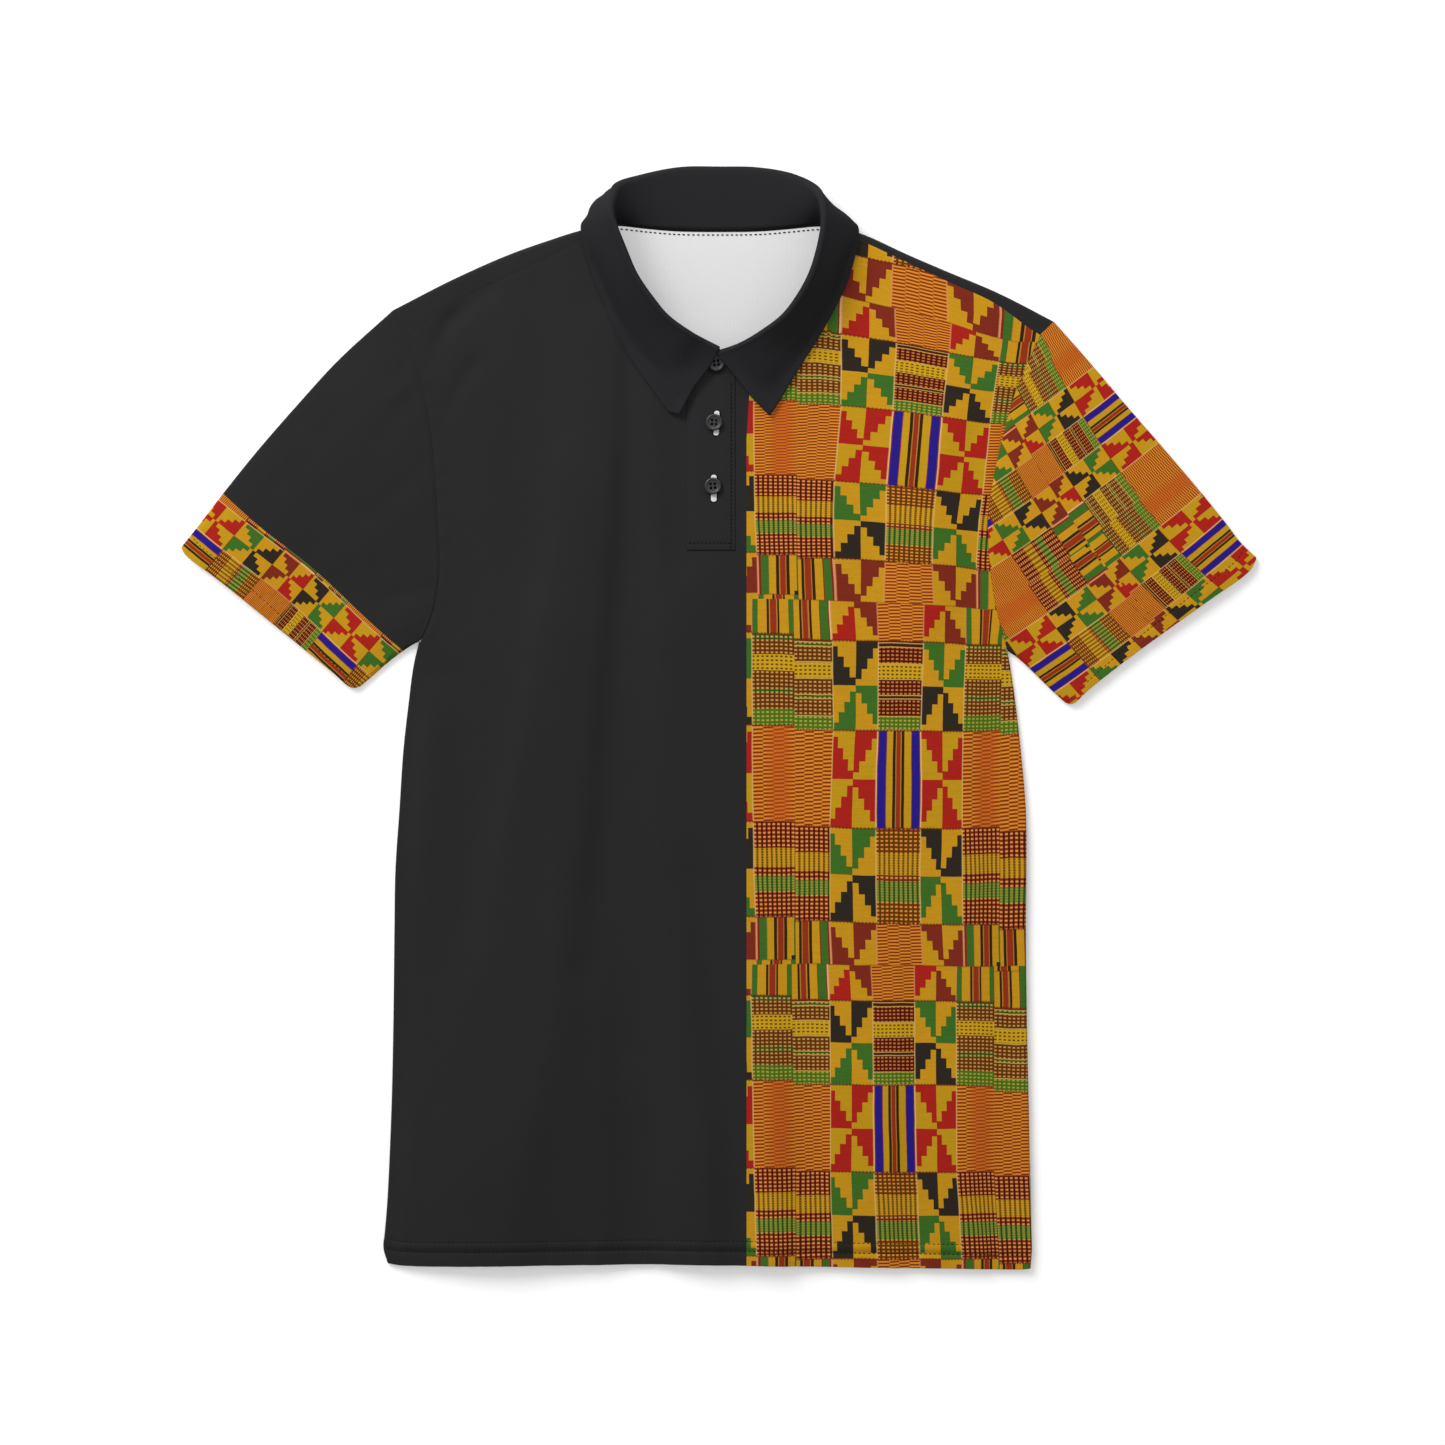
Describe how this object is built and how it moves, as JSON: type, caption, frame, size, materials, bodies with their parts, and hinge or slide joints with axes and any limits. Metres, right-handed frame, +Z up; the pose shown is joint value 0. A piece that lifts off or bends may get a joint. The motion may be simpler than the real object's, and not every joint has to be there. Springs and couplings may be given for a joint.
{
  "type": "polo shirt",
  "caption": "Short-sleeved polo shirt laid flat, with a turn-down collar, a buttoned placket, one plain half and one half in a traditional strip-weave print.",
  "frame": {"origin": "on the surface that the shirt lies on, under the middle of the shirt's outline", "axes": "+Z up from the surface, out of the shirt's front; +Y from hem to collar; +X towards the printed half, the wearer's left"},
  "size_m": [0.7535, 0.7722, 0.0324],
  "materials": {
    "back_cloth": "matt charcoal knit outside, white inside",
    "front_cloth": "matt knit, one half charcoal and one half in a gold, red, green and black strip-weave print",
    "plain_sleeve_cloth": "matt charcoal knit with a printed band at the hem",
    "print_sleeve_cloth": "matt knit in a gold, red, green and black strip-weave print",
    "collar_cloth": "matt black knit, doubled",
    "placket_cloth": "matt black knit, doubled",
    "button_resin": "satin dark grey resin"
  },
  "bodies": {
    "root": {"back": "back_cloth", "front": "front_cloth", "sleeve_left": "plain_sleeve_cloth", "sleeve_right": "print_sleeve_cloth", "collar": "collar_cloth", "placket_upper": "placket_cloth", "placket_under": "placket_cloth", "button_1": "button_resin", "button_2": "button_resin", "button_3": "button_resin"}
  },
  "joints": []
}
